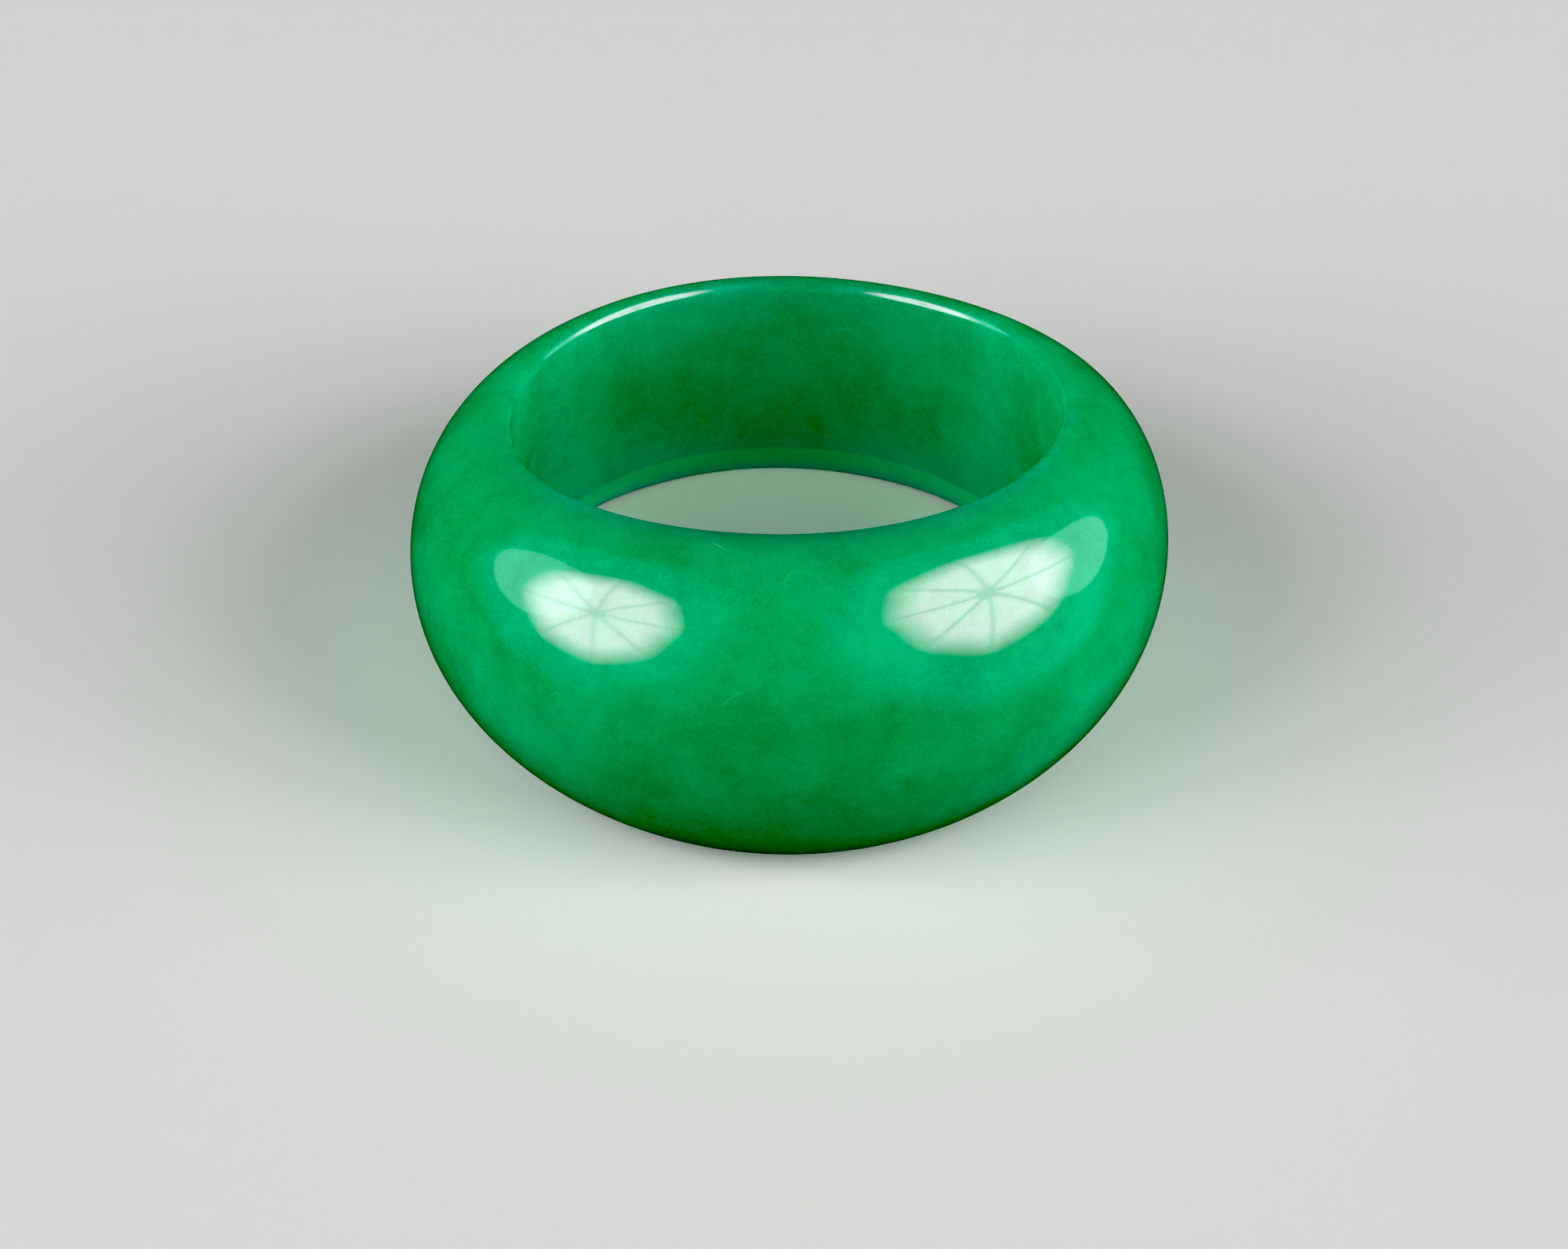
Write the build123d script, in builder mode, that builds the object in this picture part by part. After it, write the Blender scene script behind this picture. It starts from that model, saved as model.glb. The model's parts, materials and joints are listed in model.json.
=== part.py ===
from build123d import *
from collections import namedtuple
from math import atan2, cos, degrees, pi, radians, sqrt
import os

# A one-piece polished stone ring for an archer's thumb, in millimetres with +Z up.
# It lies as it would by itself on a table: the thick, tall front towards -Y and the thin back
# towards +Y. The lower edge dips most at the front and the back and arches up at the sides.
# The origin is on the table, at the middle of the ring's footprint.

# Finger bore, a true cylinder
bore_diameter = 20.0

# Wall, from the bore to the fullest line of the dome
front_wall = 4.7
back_wall = 2.0

# Upper edge above the bore's middle, measured along the bore
front_rise = 6.68
back_rise = 4.25

# Lower edge below the bore's middle, measured along the bore
front_drop = 6.45
back_drop = 4.23

# Eased inner edges: how far out from the bore's wall both reach, and how far along it each reaches
edge_width = 0.35
upper_edge_depth = 0.36
lower_edge_depth = 1.05

# The easing's curve runs on past the bore's wall by this much, so the bore cuts it at a faint crease
edge_overrun = 0.01

# Direction of the front in the plan, as an angle from +X
front_heading = -90

# An ellipse closes only in true quarter turns, so these aren't sizes. In a section, whose x axis
# points away from the bore, a quarter turn is the way up and a half turn the way to the bore.
quarter_turn = degrees(pi / 2)
half_turn = degrees(pi)

# Sections of the loft: the turn from one to the next, and how many run past each end of a half
section_step = 22.5
sections_past_end = 2

# Stations round the ring, by the turn from the front towards +X. Each share says how far that
# measure has grown from its value at the back (0) to its value at the front (1).
Station = namedtuple("Station", "turn wall rise drop")
stations = [
    Station(0, 1.00, 1.00, 1.00),
    Station(45, 0.92, 0.91, 0.71),
    Station(90, 0.68, 0.58, 0.22),
    Station(135, 0.22, 0.15, 0.01),
    Station(180, 0.00, 0.00, 0.00),
    Station(225, 0.19, 0.02, 0.01),
    Station(270, 0.60, 0.20, 0.22),
    Station(315, 0.95, 0.71, 0.71),
]

# The upper and lower edges run round at this radius
edge_radius = bore_diameter / 2 + edge_width

# Half axes of the quarter ellipses that ease the edges, so that each meets the bore's wall at its depth
easing_width = edge_width + edge_overrun
used_depth = 1 - sqrt(1 - (edge_width / easing_width) ** 2)
upper_easing_depth = upper_edge_depth / used_depth
lower_easing_depth = lower_edge_depth / used_depth

# The front of the lower edge is deeper than its back, so on a table the bore leans back
rest_lean = degrees(atan2(front_drop - back_drop, 2 * edge_radius))


def share(measure, turn):
    """Share of a measure at any turn, on the smooth closed curve through all the stations."""
    count = len(stations)
    total = 0.0
    for station in stations:
        gap = radians(turn - station.turn)
        waves = sum(2 * cos(order * gap) for order in range(1, count // 2))
        total += getattr(station, measure) * (1 + waves + cos(count // 2 * gap)) / count
    return total


def grown(back, front, measure, turn):
    """Size of a measure at a turn, between its values at the back and at the front."""
    return back + (front - back) * share(measure, turn)


def wall_outline(turn):
    """Outline of the wall in the plane at a turn: x is away from the bore's axis, y along it."""
    wall = grown(back_wall, front_wall, "wall", turn)
    rise = grown(back_rise, front_rise, "rise", turn)
    drop = grown(back_drop, front_drop, "drop", turn)
    inner_side = edge_radius - easing_width
    above = (edge_radius, rise - upper_easing_depth)
    below = (edge_radius, lower_easing_depth - drop)
    waist = (edge_radius, (rise - drop) / 2)
    Line((inner_side, lower_easing_depth - drop), (inner_side, rise - upper_easing_depth))
    EllipticalCenterArc(above, easing_width, upper_easing_depth, half_turn, arc_size=-quarter_turn)
    EllipticalCenterArc(waist, wall - edge_width, (rise + drop) / 2, quarter_turn, arc_size=-half_turn)
    EllipticalCenterArc(below, easing_width, lower_easing_depth, -quarter_turn, arc_size=-quarter_turn)


def half_ring(middle_turn, side):
    """Half of the ring, lofted past both of its ends and then trimmed, so the halves meet smoothly."""
    reach = round(quarter_turn / section_step) + sections_past_end
    with BuildPart() as half:
        for step in range(-reach, reach + 1):
            turn = middle_turn + step * section_step
            with BuildSketch(Plane.XZ.rotated((0, 0, front_heading + turn))):
                with BuildLine():
                    wall_outline(turn)
                make_face()
        loft()
        split(bisect_by=Plane.XZ, keep=side)
    return half.part


# Carved round an upright bore first: the front half and the back half, joined, then the bore
with BuildPart() as upright_ring:
    add(half_ring(0, Keep.TOP))
    add(half_ring(180, Keep.BOTTOM))
    Hole(bore_diameter / 2)

# Then laid down on the table
with BuildPart() as thumb_ring:
    with Locations(Rotation(-rest_lean, 0, 0)):
        add(upright_ring.part)

footprint = thumb_ring.part.bounding_box()
thumb_ring.part.position -= (footprint.center().X, footprint.center().Y, footprint.min.Z)
thumb_ring.part.label = "thumb_ring"

os.makedirs("parts", exist_ok=True)
export_step(thumb_ring.part, "parts/thumb_ring.step")
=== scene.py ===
"""A jade archer's thumb ring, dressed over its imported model, and the small studio it is shown in."""
import json
from collections import namedtuple
from math import cos, pi, radians, sin, sqrt, tan

import bmesh
import bpy
from bpy.props import FloatProperty, FloatVectorProperty, IntProperty, PointerProperty
from mathutils import Matrix, Vector


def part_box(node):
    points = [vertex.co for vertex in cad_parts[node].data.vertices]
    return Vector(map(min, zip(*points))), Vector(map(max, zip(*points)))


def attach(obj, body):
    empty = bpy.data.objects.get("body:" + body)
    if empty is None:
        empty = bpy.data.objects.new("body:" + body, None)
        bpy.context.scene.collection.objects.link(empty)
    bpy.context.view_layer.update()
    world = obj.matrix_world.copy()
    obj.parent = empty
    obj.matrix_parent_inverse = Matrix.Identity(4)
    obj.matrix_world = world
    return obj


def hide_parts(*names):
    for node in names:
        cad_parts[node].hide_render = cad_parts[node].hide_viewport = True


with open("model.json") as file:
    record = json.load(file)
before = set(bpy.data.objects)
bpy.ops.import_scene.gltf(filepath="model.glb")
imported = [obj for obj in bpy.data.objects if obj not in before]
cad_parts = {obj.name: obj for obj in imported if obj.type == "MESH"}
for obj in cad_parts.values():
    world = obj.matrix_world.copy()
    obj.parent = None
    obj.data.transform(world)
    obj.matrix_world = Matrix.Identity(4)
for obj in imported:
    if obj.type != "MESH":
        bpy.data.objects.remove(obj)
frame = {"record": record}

bl_info = {
    "name": "Archer's Thumb Ring",
    "version": (1, 0, 0),
    "blender": (4, 5, 0),
    "location": "3D View > Sidebar > Thumb Ring",
    "description": "Makes a carved and polished jade thumb ring and the studio it is shown in",
    "category": "Object",
}

NODE = "thumb_ring"
BODY = "root"

BORE = next(mount for mount in frame["record"]["mounts"] if mount["name"] == "finger_bore")

MILLIMETRE = 0.001
FULL_TURN = 2 * pi
QUARTER_TURN = pi / 2

# Strips of the skin are joined where their edges are nearer than this
SEAM = 0.0002 * MILLIMETRE

# The finished skin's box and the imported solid's differ by no more than this on any side
BOX_TOLERANCE = 0.05 * MILLIMETRE

# Edges that bend by more than this aren't shaded smooth
CREASE_ANGLE = radians(10)

# The skin's attribute for the painted light on the lower eased edge: 1 where that edge is thinnest, at
# the back
PAINTED_EDGE_LIGHT = "thin_edge"

# From the middle of the floor to each of its sides, and from the camera to the first thing it sees
FLOOR_REACH = 3.0
CLIP_START = 0.01

# Width of the camera's sensor, in millimetres as its focal length is
SENSOR_WIDTH = 36

# Stations round the ring, by the turn in degrees from the front towards +X. Each share says how
# far that measure has grown from its value at the back (0) to its value at the front (1).
Station = namedtuple("Station", "turn wall rise drop")
STATIONS = [
    Station(0, 1.00, 1.00, 1.00),
    Station(45, 0.92, 0.91, 0.71),
    Station(90, 0.68, 0.58, 0.22),
    Station(135, 0.22, 0.15, 0.01),
    Station(180, 0.00, 0.00, 0.00),
    Station(225, 0.19, 0.02, 0.01),
    Station(270, 0.60, 0.20, 0.22),
    Station(315, 0.95, 0.71, 0.71),
]

# Lights round the ring, in degrees: the way to each, counted from the ring's front towards +X, its
# height over the floor and half of the angle that it fills. The share is of its kind's brightness.
# Some hang lower than the floor, which casts no shadow and so lets their light through.
Lamp = namedtuple("Lamp", "name kind heading elevation spread share")
LAMPS = [
    Lamp("left_mirrored", "mirrored", -67, 25, 27, 1.00),
    Lamp("right_mirrored", "mirrored", 66, 29, 31, 1.00),
    Lamp("left_fringe", "fringe", -93, 21, 18, 1.00),
    Lamp("right_fringe", "fringe", 95, 14, 17, 1.00),
    Lamp("left_glow", "glow", -73, 27, 46, 1.00),
    Lamp("right_glow", "glow", 68, 26, 53, 1.00),
    Lamp("left_sheen", "sheen", -98, -40, 24, 0.85),
    Lamp("right_sheen", "sheen", 104, -46, 26, 1.00),
    Lamp("left_soft", "soft", -60, 34, 22, 0.95),
    Lamp("right_soft", "soft", 62, 32, 22, 1.05),
    Lamp("left_low", "soft", -86, 6, 22, 1.00),
    Lamp("right_low", "soft", 80, 2, 22, 0.95),
    Lamp("front_soft", "soft", 0, 42, 22, 0.28),
    Lamp("left_under", "soft", -130, -40, 15, 0.20),
    Lamp("right_under", "soft", 130, -40, 15, 0.20),
]

# Each light hangs further away than the one before, by this share of the nearest one's distance
DISTANCE_STEP = 0.1

# Kinds of light with a soft edge, and the share of their radius that is fully bright
FULL_REACH = {"mirrored": 0.60, "glow": 0.70, "sheen": 0.0}

# Ribs in the mirrored lights: how many, half of their width as a share of the light's radius, and how
# much of the light they take away
RIBS = 8
RIB_HALF_WIDTH = 0.022
RIB_DARKNESS = 0.40


def length(name, description, millimetres, smallest=0.0):
    """A length that a user may change."""
    return FloatProperty(
        name=name, description=description, default=millimetres * MILLIMETRE,
        min=smallest * MILLIMETRE, precision=5, unit="LENGTH", subtype="DISTANCE",
    )


def count(name, description, default, smallest):
    """A whole number that a user may change."""
    return IntProperty(name=name, description=description, default=default, min=smallest)


def angle(name, description, degrees):
    """An angle that a user may change."""
    return FloatProperty(
        name=name, description=description, default=radians(degrees), subtype="ANGLE", unit="ROTATION"
    )


def share(name, description, default):
    """A share from 0 to 1 that a user may change."""
    return FloatProperty(
        name=name, description=description, default=default, min=0, max=1, precision=3, subtype="FACTOR"
    )


def number(name, description, default):
    """A plain number, 0 or more, that a user may change."""
    return FloatProperty(name=name, description=description, default=default, min=0)


def colour(name, description, red, green, blue):
    """A linear colour that a user may change."""
    return FloatVectorProperty(
        name=name, description=description, default=(red, green, blue), min=0, max=1, subtype="COLOR"
    )


class ThumbRingSizes(bpy.types.PropertyGroup):
    """Sizes of the ring, measured along and away from its bore."""

    bore_diameter: length("Bore Diameter", "Width of the finger bore", 2 * BORE["dims"]["r_mm"], 1)
    front_wall: length("Front Wall", "From the bore to the fullest line of the dome, at the front", 4.7)
    back_wall: length("Back Wall", "From the bore to the fullest line of the dome, at the back", 2.0)
    front_rise: length("Front Rise", "Upper edge above the bore's middle, at the front", 6.68)
    back_rise: length("Back Rise", "Upper edge above the bore's middle, at the back", 4.25)
    front_drop: length("Front Drop", "Lower edge below the bore's middle, at the front", 6.45)
    back_drop: length("Back Drop", "Lower edge below the bore's middle, at the back", 4.23)
    edge_width: length("Edge Width", "How far out from the bore both easings reach", 0.35, 0.01)
    upper_edge_depth: length("Upper Edge Depth", "How far along the bore its easing reaches", 0.36)
    lower_edge_depth: length("Lower Edge Depth", "How far along the bore its easing reaches", 1.05)
    edge_overrun: length("Edge Overrun", "How far the easing's curve runs on past the bore", 0.01)
    waviness: length("Waviness", "How deep the hand polish leaves the surface uneven", 0.01)
    wave_size: length("Wave Size", "Width of one wave that the hand polish leaves", 5.0, 0.1)
    steps_round: count("Steps Round", "Faces round the ring", 320, 16)
    steps_across_dome: count("Steps Across Dome", "Faces across the domed outside", 72, 4)
    steps_across_edge: count("Steps Across Edge", "Faces across each eased edge", 14, 2)
    steps_along_bore: count("Steps Along Bore", "Faces along the bore's wall", 60, 1)


class ThumbRingJade(bpy.types.PropertyGroup):
    """Colours and finish of the stone."""

    deep: colour("Deep Green", "Colour of the darker clouds in the stone", 0.0005, 0.36, 0.110)
    body: colour("Body Green", "Colour of most of the stone", 0.0005, 0.42, 0.140)
    pale: colour("Pale Green", "Colour of the paler, bluer clouds in the stone", 0.0005, 0.48, 0.175)
    # Painted light: a bright green that the lower eased edge takes in place of the light that reaches
    # it
    edge: colour("Thin Edge", "Colour of the lower edge where light shines through", 0.0005, 0.98, 0.12)
    speck: colour("Speck", "Colour of the fine specks in the stone", 0.15, 0.62, 0.38)
    cloud_size: length("Cloud Size", "Width of one cloud in the stone", 3.2, 0.1)
    wisp_size: length("Wisp Size", "Width of one wisp in the clouds", 0.7, 0.01)
    grain_size: length("Grain Size", "Width of one grain of the stone", 0.12, 0.01)
    cloud_share: share("Cloud Share", "How much the clouds decide the tone", 0.46)
    wisp_share: share("Wisp Share", "How much the wisps decide the tone", 0.28)
    grain_share: share("Grain Share", "How much the grain decides the tone", 0.26)
    tone_range: share("Tone Range", "From the usual tone to the deepest and to the palest", 0.10)
    speck_spacing: length("Speck Spacing", "Between the places that may hold a speck", 0.5, 0.01)
    speck_radius: length("Speck Radius", "Radius of one pale speck", 0.0275)
    speck_share: share("Speck Share", "Share of the places that do hold a speck", 0.25)
    speck_strength: share("Speck Strength", "How much a speck takes the specks' colour", 0.5)
    scratch_spacing: length("Scratch Spacing", "Between the hairline scratches", 3.0, 0.1)
    scratch_width: length("Scratch Width", "Usual width of a hairline scratch", 0.0132)
    scratch_limit: share("Scratch Limit", "Wear over which the stone is scratched", 0.60)
    scratch_strength: share("Scratch Strength", "How much a scratch takes the specks' colour", 0.25)
    scratch_depth: share("Scratch Depth", "Depth of a scratch as a share of the unevenness", 0.5)
    refraction: number("Refraction", "How strongly the stone bends light", 1.6)
    depth: length("Light Depth", "How far light spreads under the surface", 10.0)
    spread: colour("Spread", "Share of that depth that each colour of light reaches", 0.02, 1.0, 1.0)
    translucency: share("Translucency", "Share of the light that enters and leaves elsewhere", 1.0)
    polished: share("Polished", "Roughness where the polish is best", 0.05)
    worn: share("Worn", "Roughness where the polish is worn", 0.11)
    unevenness: length("Unevenness", "Height of the faint ripple in the polish", 0.004)


class ThumbRingStudio(bpy.types.PropertyGroup):
    """Camera, lights and floor."""

    distance: length("Camera Distance", "From the camera to a point in the middle of the bore", 260.0)
    elevation: angle("Camera Elevation", "How high the camera looks down from", 40.391)
    heading: angle("Camera Heading", "How far left of the ring's front the camera stands", 3.708)
    roll: angle("Camera Roll", "How far the camera is rolled", 1.454)
    look_height: length("Look Height", "Height of that point over the floor", 4.0)
    look_up: angle("Look Up", "How far over the picture's middle that point shows", 0.572)
    focal_length: FloatProperty(
        name="Focal Length", description="Focal length of the camera", default=162.53, unit="CAMERA"
    )
    light_distance: length("Light Distance", "From the ring to the nearest light", 600.0)
    mirrored_brightness: number("Mirrored Brightness", "Radiance of the mirrored lights", 11.5)
    fringe_brightness: number("Fringe Brightness", "Radiance of the dimmer panels", 2.1)
    glow_brightness: number("Glow Brightness", "Radiance of the glow", 1.3)
    sheen_brightness: number("Sheen Brightness", "Radiance of the dim sheen", 0.5)
    soft_brightness: number("Soft Brightness", "Radiance of the lights that aren't mirrored", 3.6)
    mirrored: colour("Mirrored", "Colour of the lights that the polish mirrors", 1.0, 0.71, 0.90)
    fringe: colour("Fringe", "Colour of the dimmer panels beside the mirrored lights", 0.75, 1.0, 1.0)
    glow: colour("Glow", "Colour of the glow round the mirrored lights", 0.0, 0.9, 0.85)
    sheen: colour("Sheen", "Colour of the dim sheen low at the sides", 0.0, 1.0, 0.7)
    surround: colour("Surround", "Colour of the dim surround", 0.004, 0.004, 0.004)
    black_level: share("Black Level", "Light in the picture that is shown as black", 0.045)
    floor: colour("Floor", "Colour of the floor", 0.88, 0.88, 0.86)


class NodeWriter:
    """Adds nodes to a tree, wires each as it is made and lays them out from left to right."""

    column_width = 200
    row_height = 180

    def __init__(self, tree):
        self.tree = tree
        self.columns = {}
        self.rows = {}

    def add(self, kind, inputs=None, **settings):
        """A new node. Inputs go by socket name or number: a value, a socket or a list of sockets."""
        node = self.tree.nodes.new(kind)
        for name, value in settings.items():
            setattr(node, name, value)
        column = 0
        for key, value in (inputs or {}).items():
            sources = value if isinstance(value, list) else [value]
            if isinstance(sources[0], bpy.types.NodeSocket):
                for source in sources:
                    self.tree.links.new(source, node.inputs[key])
                    column = max(column, self.columns[source.node] + 1)
            else:
                node.inputs[key].default_value = value
        row = self.rows.get(column, 0)
        self.rows[column] = row + 1
        self.columns[node] = column
        node.location = (column * self.column_width, -row * self.row_height)
        return node

    def math(self, operation, *values):
        """Output of a Math node on numbers or sockets."""
        return self.add("ShaderNodeMath", dict(enumerate(values)), operation=operation).outputs[0]

    def vector_math(self, operation, *values):
        """Output of a Vector Math node on vectors or sockets."""
        return self.add("ShaderNodeVectorMath", dict(enumerate(values)), operation=operation).outputs[0]

    def scaled(self, vector, scale):
        """Output of a Vector Math node that scales a vector by a number."""
        inputs = {0: vector, "Scale": scale}
        return self.add("ShaderNodeVectorMath", inputs, operation="SCALE").outputs[0]

    def vector(self, x, y, z):
        """Output of a Combine XYZ node."""
        return self.add("ShaderNodeCombineXYZ", {"X": x, "Y": y, "Z": z}).outputs[0]

    def parts(self, vector):
        """The three outputs of a Separate XYZ node."""
        return self.add("ShaderNodeSeparateXYZ", {"Vector": vector}).outputs[:]

    def noise(self, vector, size, **inputs):
        """Height, from 0 to 1, of smooth noise whose features have a given size."""
        values = {"Vector": vector, "Scale": 1 / size}
        values.update((name.title(), value) for name, value in inputs.items())
        return self.add("ShaderNodeTexNoise", values).outputs[0]

    def between(self, start, end, part):
        """A number that goes from start to end as part goes from 0 to 1."""
        span = self.math("SUBTRACT", end, start)
        return self.math("MULTIPLY_ADD", span, part, start)

    def group(self, tree, inputs):
        """Outputs of another geometry node group."""
        return self.add("GeometryNodeGroup", inputs, node_tree=tree).outputs


def new_group(name, inputs, outputs):
    """A geometry node group with named sockets: its tree, its writer and its named inputs."""
    tree = bpy.data.node_groups.new(name, "GeometryNodeTree")
    for in_out, sockets in (("INPUT", inputs), ("OUTPUT", outputs)):
        for socket, kind in sockets.items():
            tree.interface.new_socket(socket, in_out=in_out, socket_type="NodeSocket" + kind)
    write = NodeWriter(tree)
    return tree, write, write.add("NodeGroupInput").outputs


def station_weight_group():
    """Weight of one station at a gap from it: 1 there, 0 at every other station, smooth all round."""
    tree, write, given = new_group("Station Weight", {"Gap": "Float"}, {"Weight": "Float"})
    total = 1.0
    for order in range(1, len(STATIONS) // 2 + 1):
        wave = write.math("COSINE", write.math("MULTIPLY", given["Gap"], order))
        strength = 1.0 if order == len(STATIONS) // 2 else 2.0
        total = write.math("MULTIPLY_ADD", wave, strength, total)
    write.add("NodeGroupOutput", {"Weight": write.math("DIVIDE", total, len(STATIONS))})
    return tree


def station_shares_group():
    """Shares of the wall, rise and drop at any turn, on smooth closed curves through the stations."""
    tree, write, given = new_group("Station Shares", {"Turn": "Float"}, {"Shares": "Vector"})
    weight_group = station_weight_group()
    total = (0, 0, 0)
    for station in STATIONS:
        gap = write.math("SUBTRACT", given["Turn"], radians(station.turn))
        weight = write.group(weight_group, {"Gap": gap})["Weight"]
        shares = write.scaled((station.wall, station.rise, station.drop), weight)
        total = write.vector_math("ADD", shares, total)
    write.add("NodeGroupOutput", {"Shares": total})
    return tree


def ellipse_group():
    """Point of an upright ellipse whose surface faces a given way, counted from straight outwards."""
    tree, write, given = new_group(
        "Ellipse Point",
        {name: "Float" for name in ("Facing", "Centre Out", "Centre Up", "Half Width", "Half Height")},
        {"Out": "Float", "Up": "Float"},
    )
    across = write.math("MULTIPLY", write.math("COSINE", given["Facing"]), given["Half Width"])
    along = write.math("MULTIPLY", write.math("SINE", given["Facing"]), given["Half Height"])
    squares = write.math("MULTIPLY_ADD", across, across, write.math("MULTIPLY", along, along))
    reach = write.math("SQRT", squares)
    out = write.math("MULTIPLY", given["Half Width"], write.math("DIVIDE", across, reach))
    up = write.math("MULTIPLY", given["Half Height"], write.math("DIVIDE", along, reach))
    write.add("NodeGroupOutput", {
        "Out": write.math("ADD", out, given["Centre Out"]),
        "Up": write.math("ADD", up, given["Centre Up"]),
    })
    return tree


def strip_group():
    """A strip of the skin all the way round: a unit grid, moved out and up from the bore's axis."""
    tree, write, given = new_group(
        "Ring Strip",
        {"Steps Round": "Int", "Steps Across": "Int",
         **{name: "Float" for name in ("Turn", "Out", "Up", "Thin Edge")}},
        {"Mesh": "Geometry"},
    )
    grid = write.add("GeometryNodeMeshGrid", {
        "Size X": 1.0,
        "Size Y": 1.0,
        "Vertices X": write.math("ADD", given["Steps Round"], 1),
        "Vertices Y": write.math("ADD", given["Steps Across"], 1),
    })
    right = write.math("MULTIPLY", given["Out"], write.math("SINE", given["Turn"]))
    front = write.math("MULTIPLY", given["Out"], write.math("COSINE", given["Turn"]))
    place = write.vector(right, write.math("MULTIPLY", front, -1.0), given["Up"])
    # How much painted light each point of the strip takes
    marked = write.add("GeometryNodeStoreNamedAttribute", {
        "Geometry": grid.outputs["Mesh"], "Name": PAINTED_EDGE_LIGHT, "Value": given["Thin Edge"],
    }, data_type="FLOAT", domain="POINT").outputs["Geometry"]
    moved = write.add("GeometryNodeSetPosition", {"Geometry": marked, "Position": place})
    write.add("NodeGroupOutput", {"Mesh": moved.outputs["Geometry"]})
    return tree


def socket_name(identifier):
    """A size's name in words, as on the sockets of the ring's node group."""
    return identifier.replace("_", " ").title()


def ring_skin_group():
    """The ring's whole skin: the dome, both eased edges and the bore, leaning as it lies on a table."""
    inputs = {socket_name(size): "Int" if size.startswith("steps") else "Float"
              for size in ThumbRingSizes.__annotations__}
    inputs["Material"] = "Material"
    tree, write, given = new_group("Ring Skin", inputs, {"Geometry": "Geometry"})

    # Every strip starts as a unit grid, on which x counts the turn and y the way across the strip
    x, y, _ = write.parts(write.add("GeometryNodeInputPosition").outputs[0])
    turn = write.math("MULTIPLY_ADD", x, FULL_TURN, pi)
    part = write.math("ADD", y, 0.5)

    # Wall, rise and drop at this turn
    shares = write.group(station_shares_group(), {"Turn": turn})["Shares"]
    front = write.vector(given["Front Wall"], given["Front Rise"], given["Front Drop"])
    back = write.vector(given["Back Wall"], given["Back Rise"], given["Back Drop"])
    growth = write.vector_math("SUBTRACT", front, back)
    wall, rise, drop = write.parts(write.vector_math("MULTIPLY_ADD", growth, shares, back))

    # The eased edges are quarter ellipses that meet the bore's wall at the edge's depth
    bore_radius = write.math("DIVIDE", given["Bore Diameter"], 2.0)
    edge_radius = write.math("ADD", bore_radius, given["Edge Width"])
    easing_width = write.math("ADD", given["Edge Width"], given["Edge Overrun"])
    met = write.math("DIVIDE", given["Edge Width"], easing_width)
    unmet = write.math("SQRT", write.math("SUBTRACT", 1.0, write.math("MULTIPLY", met, met)))
    used_depth = write.math("SUBTRACT", 1.0, unmet)
    outward = write.math("DIVIDE", met, easing_width)
    upper_depth = write.math("DIVIDE", given["Upper Edge Depth"], used_depth)
    lower_depth = write.math("DIVIDE", given["Lower Edge Depth"], used_depth)
    upper_slope = write.math("ARCTAN2", write.math("DIVIDE", unmet, upper_depth), outward)
    lower_slope = write.math("ARCTAN2", write.math("DIVIDE", unmet, lower_depth), outward)

    ellipse = ellipse_group()
    dome = write.group(ellipse, {
        "Facing": write.between(-QUARTER_TURN, QUARTER_TURN, part),
        "Centre Out": edge_radius,
        "Centre Up": write.math("DIVIDE", write.math("SUBTRACT", rise, drop), 2.0),
        "Half Width": write.math("SUBTRACT", wall, given["Edge Width"]),
        "Half Height": write.math("DIVIDE", write.math("ADD", rise, drop), 2.0),
    })
    upper = write.group(ellipse, {
        "Facing": write.between(QUARTER_TURN, write.math("SUBTRACT", pi, upper_slope), part),
        "Centre Out": edge_radius,
        "Centre Up": write.math("SUBTRACT", rise, upper_depth),
        "Half Width": easing_width,
        "Half Height": upper_depth,
    })
    lower = write.group(ellipse, {
        "Facing": write.between(write.math("ADD", pi, lower_slope), pi + QUARTER_TURN, part),
        "Centre Out": edge_radius,
        "Centre Up": write.math("SUBTRACT", lower_depth, drop),
        "Half Width": easing_width,
        "Half Height": lower_depth,
    })
    bore_top = write.math("SUBTRACT", rise, given["Upper Edge Depth"])
    bore_bottom = write.math("SUBTRACT", given["Lower Edge Depth"], drop)
    bore = {"Out": bore_radius, "Up": write.between(bore_top, bore_bottom, part)}

    # Painted light on the lower eased edge, strongest at the back, where the wall is thin
    nearness = write.math("MULTIPLY_ADD", write.math("COSINE", turn), -0.5, 0.5)
    painted_light_share = write.math("POWER", nearness, 2.0)

    # Only the lower easing takes the painted light
    strip = strip_group()
    strips = [
        write.group(strip, {
            "Steps Round": given["Steps Round"],
            "Steps Across": given[steps],
            "Turn": turn,
            "Out": line["Out"],
            "Up": line["Up"],
            "Thin Edge": edge,
        })["Mesh"]
        for line, steps, edge in (
            (dome, "Steps Across Dome", 0.0),
            (upper, "Steps Across Edge", 0.0),
            (bore, "Steps Along Bore", 0.0),
            (lower, "Steps Across Edge", painted_light_share),
        )
    ]
    joined = write.add("GeometryNodeJoinGeometry", {"Geometry": strips}).outputs["Geometry"]
    closed = write.add("GeometryNodeMergeByDistance", {
        "Geometry": joined, "Distance": SEAM,
    }).outputs["Geometry"]

    # The hand polish leaves the surface very slightly uneven, never above the exact form
    noise = write.add("ShaderNodeTexNoise", {
        "Scale": write.math("DIVIDE", 1.0, given["Wave Size"]), "Detail": 1.0, "Roughness": 0.5,
    })
    hollow = write.math("MULTIPLY", noise.outputs[0], write.math("MULTIPLY", given["Waviness"], -1.0))
    normal = write.add("GeometryNodeInputNormal").outputs[0]
    uneven = write.add("GeometryNodeSetPosition", {
        "Geometry": closed, "Offset": write.scaled(normal, hollow),
    }).outputs["Geometry"]

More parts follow.
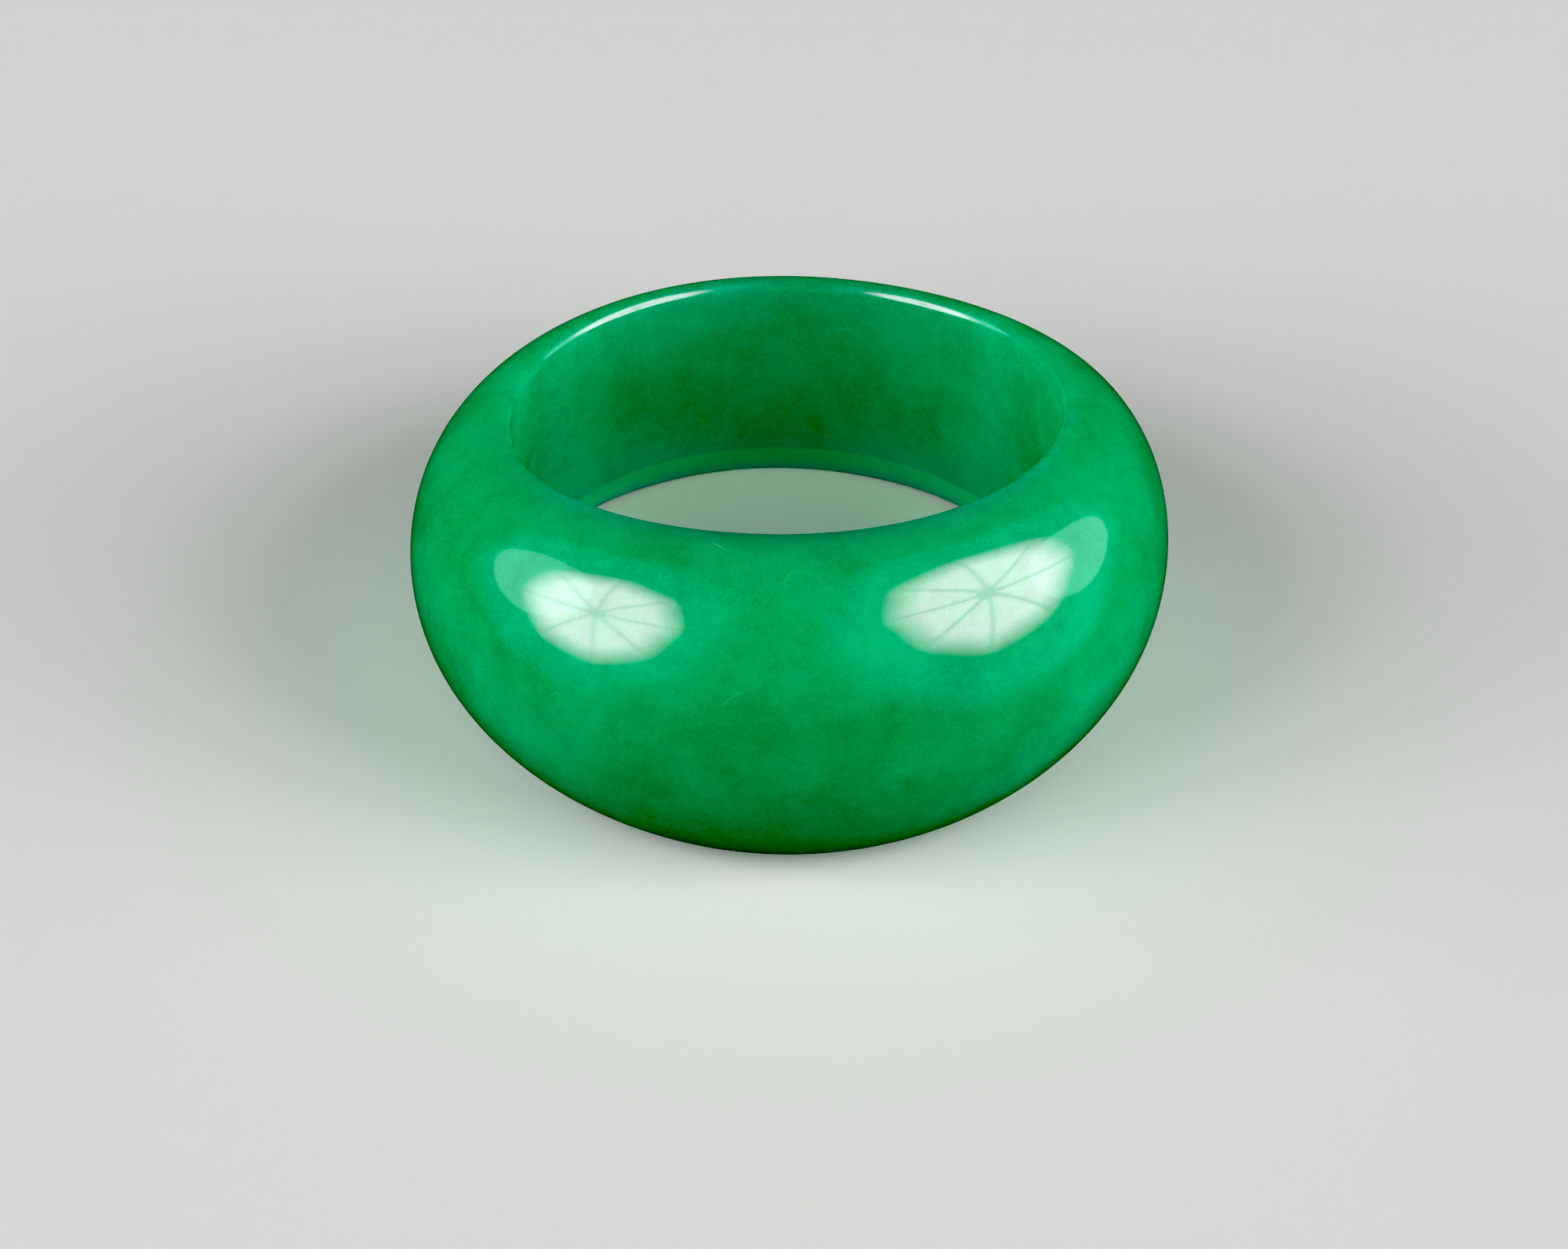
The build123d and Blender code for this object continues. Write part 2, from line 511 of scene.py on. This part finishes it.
    # Laid down: it leans back until its front and its back both touch the table
    lean = write.math(
        "ARCTAN2",
        write.math("SUBTRACT", given["Front Drop"], given["Back Drop"]),
        write.math("MULTIPLY", edge_radius, 2.0),
    )
    leaning = write.add("GeometryNodeTransform", {
        "Geometry": uneven, "Rotation": write.vector(write.math("MULTIPLY", lean, -1.0), 0.0, 0.0),
    }).outputs["Geometry"]
    box = write.add("GeometryNodeBoundBox", {"Geometry": leaning}).outputs
    middle = write.scaled(write.vector_math("ADD", box["Min"], box["Max"]), -0.5)
    middle_x, middle_y, _ = write.parts(middle)
    _, _, lowest = write.parts(write.scaled(box["Min"], -1.0))
    lying = write.add("GeometryNodeTransform", {
        "Geometry": leaning, "Translation": write.vector(middle_x, middle_y, lowest),
    }).outputs["Geometry"]

    # Smooth all over, but for the faint crease where the upper easing meets the bore's wall
    smooth = write.add("GeometryNodeSetShadeSmooth", {"Geometry": lying}).outputs["Geometry"]
    bend = write.add("GeometryNodeInputMeshEdgeAngle").outputs["Unsigned Angle"]
    sharp = write.math("GREATER_THAN", bend, CREASE_ANGLE)
    creased = write.add("GeometryNodeSetShadeSmooth", {
        "Geometry": smooth, "Selection": sharp, "Shade Smooth": False,
    }, domain="EDGE").outputs["Geometry"]
    real = write.add("GeometryNodeRealizeInstances", {"Geometry": creased}).outputs["Geometry"]
    finished = write.add("GeometryNodeSetMaterial", {"Geometry": real, "Material": given["Material"]})
    write.add("NodeGroupOutput", {"Geometry": finished.outputs["Geometry"]})
    return tree


def jade_material(jade):
    """Polished, translucent green stone, with clouds, wisps, grain, specks, hairline scratches and
    painted light on the lower eased edge.
    """
    material = bpy.data.materials.new("Jade")
    material.use_nodes = True
    material.node_tree.nodes.clear()
    write = NodeWriter(material.node_tree)
    place = write.add("ShaderNodeTexCoord").outputs["Object"]

    # Clouds, wisps and grain together choose between the deep, the usual and the pale green
    clouds = write.noise(place, jade.cloud_size, detail=2.0, roughness=0.55, distortion=0.4)
    wisps = write.noise(place, jade.wisp_size, detail=3.0, roughness=0.65, distortion=0.8)
    grain = write.noise(place, jade.grain_size, detail=1.0)
    tone = write.math("MULTIPLY", clouds, jade.cloud_share)
    tone = write.math("MULTIPLY_ADD", wisps, jade.wisp_share, tone)
    tone = write.math("MULTIPLY_ADD", grain, jade.grain_share, tone)
    ramp = write.add("ShaderNodeValToRGB", {"Fac": tone})
    stops = ramp.color_ramp.elements
    usual = 0.5
    stops[0].position, stops[0].color = usual - jade.tone_range, (*jade.deep, 1)
    stops[1].position, stops[1].color = usual + jade.tone_range, (*jade.pale, 1)
    stops.new(usual).color = (*jade.body, 1)

    # Pale specks, in some of the cells
    cells = write.add("ShaderNodeTexVoronoi", {"Vector": place, "Scale": 1 / jade.speck_spacing})
    speck_reach = jade.speck_radius / jade.speck_spacing
    near = write.math("LESS_THAN", cells.outputs["Distance"], speck_reach)
    chance, _, _ = write.parts(cells.outputs["Color"])
    specks = write.math("MULTIPLY", near, write.math("GREATER_THAN", chance, 1 - jade.speck_share))

    # Hairline scratches follow the middle contour of a smooth noise, where the stone was handled most
    drift = write.noise(place, jade.scratch_spacing, detail=0.0)
    from_contour = write.math("ABSOLUTE", write.math("SUBTRACT", drift, 0.5))
    contour = write.math("LESS_THAN", from_contour, jade.scratch_width / 2 / jade.scratch_spacing)
    handled = write.noise(place, jade.scratch_spacing / 2, detail=1.0)
    often_handled = write.math("GREATER_THAN", handled, jade.scratch_limit)
    scratches = write.math("MULTIPLY", contour, often_handled)

    speck_marks = write.math("MULTIPLY", specks, jade.speck_strength)
    scratch_marks = write.math("MULTIPLY", scratches, jade.scratch_strength)
    marks = write.math("MAXIMUM", speck_marks, scratch_marks)
    marked = write.add("ShaderNodeMix", {
        0: marks, 6: ramp.outputs["Color"], 7: (*jade.speck, 1),
    }, data_type="RGBA").outputs[2]
    # Painted light: the lower eased edge takes a bright green, strongest at the back, in place of the
    # light that reaches it
    edge = write.add("ShaderNodeAttribute", attribute_name=PAINTED_EDGE_LIGHT, attribute_type="GEOMETRY")
    stone = write.add("ShaderNodeMix", {
        0: edge.outputs["Fac"], 6: marked, 7: (*jade.edge, 1),
    }, data_type="RGBA").outputs[2]

    # The polish is duller in patches and along the scratches, and very faintly uneven
    worn = write.noise(place, jade.cloud_size, detail=2.0, lacunarity=2.2)
    roughness = write.between(jade.polished, jade.worn, write.math("MAXIMUM", worn, scratches))
    ripple = write.noise(place, 2 * jade.wisp_size, detail=1.0)
    height = write.math("MULTIPLY_ADD", scratches, -jade.scratch_depth, ripple)
    bump = write.add("ShaderNodeBump", {"Height": height, "Distance": jade.unevenness, "Strength": 1.0})

    shader = write.add("ShaderNodeBsdfPrincipled", {
        "Base Color": stone,
        "Roughness": roughness,
        "IOR": jade.refraction,
        "Normal": bump.outputs["Normal"],
        "Subsurface Weight": jade.translucency,
        "Subsurface Radius": tuple(jade.spread),
        "Subsurface Scale": jade.depth,
    })
    write.add("ShaderNodeOutputMaterial", {"Surface": shader.outputs[0]})
    return material


class THUMBRING_OT_make_ring(bpy.types.Operator):
    """Make the ring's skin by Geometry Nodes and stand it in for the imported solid"""

    bl_idname = "thumb_ring.make_ring"
    bl_label = "Make Ring"

    def execute(self, context):
        sizes = context.scene.thumb_ring_sizes
        tree = ring_skin_group()
        maker = bpy.data.objects.new("ring_maker", bpy.data.meshes.new("ring_maker"))
        context.collection.objects.link(maker)
        modifier = maker.modifiers.new("Ring Skin", "NODES")
        modifier.node_group = tree
        values = {socket_name(size): getattr(sizes, size) for size in ThumbRingSizes.__annotations__}
        values["Material"] = jade_material(context.scene.thumb_ring_jade)
        for socket in tree.interface.items_tree:
            if socket.in_out == "INPUT":
                modifier[socket.identifier] = values[socket.name]
        evaluated = maker.evaluated_get(context.evaluated_depsgraph_get())
        mesh = bpy.data.meshes.new_from_object(evaluated)
        bpy.data.objects.remove(maker)

        mesh.name = "jade_ring"
        check_skin(mesh)
        ring = bpy.data.objects.new("jade_ring", mesh)
        context.collection.objects.link(ring)
        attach(ring, BODY)
        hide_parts(NODE)
        return {"FINISHED"}


def check_skin(mesh):
    """Raises an error unless the skin is closed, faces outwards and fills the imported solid's box."""
    skin = bmesh.new()
    skin.from_mesh(mesh)
    closed = all(edge.is_manifold for edge in skin.edges)
    volume = skin.calc_volume(signed=True)
    skin.free()
    if not closed or volume <= 0:
        raise RuntimeError(f"the ring's skin is open or inside out: closed {closed}, volume {volume}")
    low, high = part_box(NODE)
    for axis in range(3):
        along = [vertex.co[axis] for vertex in mesh.vertices]
        if max(abs(min(along) - low[axis]), abs(max(along) - high[axis])) > BOX_TOLERANCE:
            raise RuntimeError(f"the ring's skin misses the packed solid's box along axis {axis}")


class THUMBRING_OT_set_stage(bpy.types.Operator):
    """Set the pale floor, the soft lights and the camera"""

    bl_idname = "thumb_ring.set_stage"
    bl_label = "Set Stage"

    def execute(self, context):
        studio = context.scene.thumb_ring_studio
        lay_floor(context, studio)
        hang_lights(context, studio)
        place_camera(context, studio)
        set_contrast(context.scene.view_settings, studio)
        return {"FINISHED"}


def bore_middle():
    """Middle of the finger bore."""
    return Vector(BORE["pos_m"])


def lay_floor(context, studio):
    """A wide, plain, pale floor that takes the ring's shadow and leaves the ring as it is."""
    mesh = bpy.data.meshes.new("floor")
    corners = [(x * FLOOR_REACH, y * FLOOR_REACH, 0) for x, y in ((-1, -1), (1, -1), (1, 1), (-1, 1))]
    mesh.from_pydata(corners, [], [(0, 1, 2, 3)])
    floor = bpy.data.objects.new("floor", mesh)
    context.collection.objects.link(floor)
    material = bpy.data.materials.new("Floor")
    material.use_nodes = True
    shader = material.node_tree.nodes["Principled BSDF"]
    shader.inputs["Base Color"].default_value = (*studio.floor, 1)
    shader.inputs["Roughness"].default_value = 1.0
    shader.inputs["Specular IOR Level"].default_value = 0.0
    mesh.materials.append(material)

    # It doesn't show in the polish, throw light on the stone or stop the lights under it
    floor.visible_glossy = False
    floor.visible_diffuse = False
    floor.visible_shadow = False


def hang_lights(context, studio):
    """A dim surround, and all the lights, each at its own distance so that none hides another."""
    world = bpy.data.worlds.new("Studio")
    world.use_nodes = True
    background = world.node_tree.nodes["Background"]
    background.inputs["Color"].default_value = (*studio.surround, 1)
    context.scene.world = world
    for order, row in enumerate(LAMPS):
        distance = studio.light_distance * (1 + DISTANCE_STEP * order)
        lamp = hang_light(context, row, distance)
        lamp.data.energy *= getattr(studio, row.kind + "_brightness")
        if row.kind == "soft":
            lamp.visible_glossy = False
        else:
            lamp.visible_diffuse = False
            lamp.data.color = getattr(studio, row.kind)
        if row.kind in FULL_REACH:
            shape_light(lamp.data, FULL_REACH[row.kind], ribbed=row.kind == "mirrored")


def hang_light(context, row, distance):
    """A round area light that faces the ring, hidden from the camera. Its share is its radiance."""
    light = bpy.data.lights.new(row.name, "AREA")
    light.shape = "DISK"
    light.size = 2 * distance * tan(radians(row.spread))

    # A flat light's power is pi times its area times its radiance
    area = pi * (light.size / 2) ** 2
    light.energy = pi * area * row.share
    lamp = bpy.data.objects.new(row.name, light)
    context.collection.objects.link(lamp)
    heading, elevation = radians(row.heading), radians(row.elevation)
    away = Vector((cos(elevation) * sin(heading), -cos(elevation) * cos(heading), sin(elevation)))
    facing = away.to_track_quat("Z", "Y").to_matrix().to_4x4()
    lamp.matrix_world = Matrix.Translation(bore_middle() + away * distance) @ facing
    lamp.visible_camera = False
    return lamp


def shape_light(light, full_reach, ribbed):
    """Gives a round light eight sides and a soft edge, and thin, darker ribs if asked."""
    light.use_nodes = True
    light.node_tree.nodes.clear()
    write = NodeWriter(light.node_tree)
    place = write.add("ShaderNodeTexCoord").outputs["UV"]
    x, y, _ = write.parts(write.vector_math("MULTIPLY_ADD", place, (2, 2, 2), (-1, -1, 0)))

    # Eight sides: as far as the point lies along either axis or along the lines between them
    across = write.math("ABSOLUTE", x)
    upward = write.math("ABSOLUTE", y)
    slanted = write.math("DIVIDE", write.math("ADD", across, upward), sqrt(2))
    reach = write.math("MAXIMUM", write.math("MAXIMUM", across, upward), slanted)
    profile = write.add("ShaderNodeValToRGB", {"Fac": reach})
    stops = profile.color_ramp.elements
    stops[0].position, stops[0].color = full_reach, (1, 1, 1, 1)
    stops[1].position, stops[1].color = 1.0, (0, 0, 0, 1)

    strength = 1.0
    if ribbed:
        turn = write.math("MULTIPLY", write.math("ARCTAN2", y, x), RIBS / 2)
        swing = write.math("ABSOLUTE", write.math("COSINE", turn))
        radius = write.math("SQRT", write.math("MULTIPLY_ADD", x, x, write.math("MULTIPLY", y, y)))
        from_rib = write.math("MULTIPLY", swing, write.math("DIVIDE", radius, RIBS / 2))
        rib = write.math("LESS_THAN", from_rib, RIB_HALF_WIDTH)
        strength = write.math("MULTIPLY_ADD", rib, -RIB_DARKNESS, 1.0)
    emission = write.add("ShaderNodeEmission", {
        "Color": profile.outputs["Color"], "Strength": strength,
    })
    write.add("ShaderNodeOutputLight", {"Surface": emission.outputs[0]})


def place_camera(context, studio):
    """The camera looks down at the ring's front, from a little to its left and through a long lens."""
    target = bore_middle()
    target.z = studio.look_height
    away = Vector((
        -cos(studio.elevation) * sin(studio.heading),
        -cos(studio.elevation) * cos(studio.heading),
        sin(studio.elevation),
    ))
    camera = bpy.data.cameras.new("camera")
    camera.sensor_width = SENSOR_WIDTH
    camera.lens = studio.focal_length
    camera.clip_start = CLIP_START
    view = bpy.data.objects.new("camera", camera)
    context.collection.objects.link(view)
    aim = away.to_track_quat("Z", "Y").to_matrix().to_4x4()
    tilt = Matrix.Rotation(-studio.look_up, 4, "X")
    roll = Matrix.Rotation(studio.roll, 4, "Z")
    view.matrix_world = Matrix.Translation(target + away * studio.distance) @ aim @ roll @ tilt
    context.scene.camera = view


def set_contrast(view, studio):
    """Plain colours, with the picture's darkest shades drawn down to black."""
    view.view_transform = "Standard"
    view.use_curve_mapping = True
    view.curve_mapping.black_level = [studio.black_level] * 3
    view.curve_mapping.update()


class THUMBRING_PT_panel(bpy.types.Panel):
    """Sizes, stone and studio, with a button for each step"""

    bl_idname = "THUMBRING_PT_panel"
    bl_label = "Thumb Ring"
    bl_space_type = "VIEW_3D"
    bl_region_type = "UI"
    bl_category = "Thumb Ring"

    def draw(self, context):
        for settings, operator in (
            (context.scene.thumb_ring_sizes, None),
            (context.scene.thumb_ring_jade, THUMBRING_OT_make_ring),
            (context.scene.thumb_ring_studio, THUMBRING_OT_set_stage),
        ):
            column = self.layout.column()
            for name in type(settings).__annotations__:
                column.prop(settings, name)
            if operator:
                column.operator(operator.bl_idname)


CLASSES = (
    ThumbRingSizes, ThumbRingJade, ThumbRingStudio,
    THUMBRING_OT_make_ring, THUMBRING_OT_set_stage, THUMBRING_PT_panel,
)


def register():
    for cls in CLASSES:
        bpy.utils.register_class(cls)
    bpy.types.Scene.thumb_ring_sizes = PointerProperty(type=ThumbRingSizes)
    bpy.types.Scene.thumb_ring_jade = PointerProperty(type=ThumbRingJade)
    bpy.types.Scene.thumb_ring_studio = PointerProperty(type=ThumbRingStudio)


def unregister():
    del bpy.types.Scene.thumb_ring_studio
    del bpy.types.Scene.thumb_ring_jade
    del bpy.types.Scene.thumb_ring_sizes
    for cls in reversed(CLASSES):
        bpy.utils.unregister_class(cls)


def main():
    """Registers the add-on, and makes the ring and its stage."""
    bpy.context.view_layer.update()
    register()
    bpy.ops.thumb_ring.make_ring()
    bpy.ops.thumb_ring.set_stage()


if __name__ == "__main__":
    main()
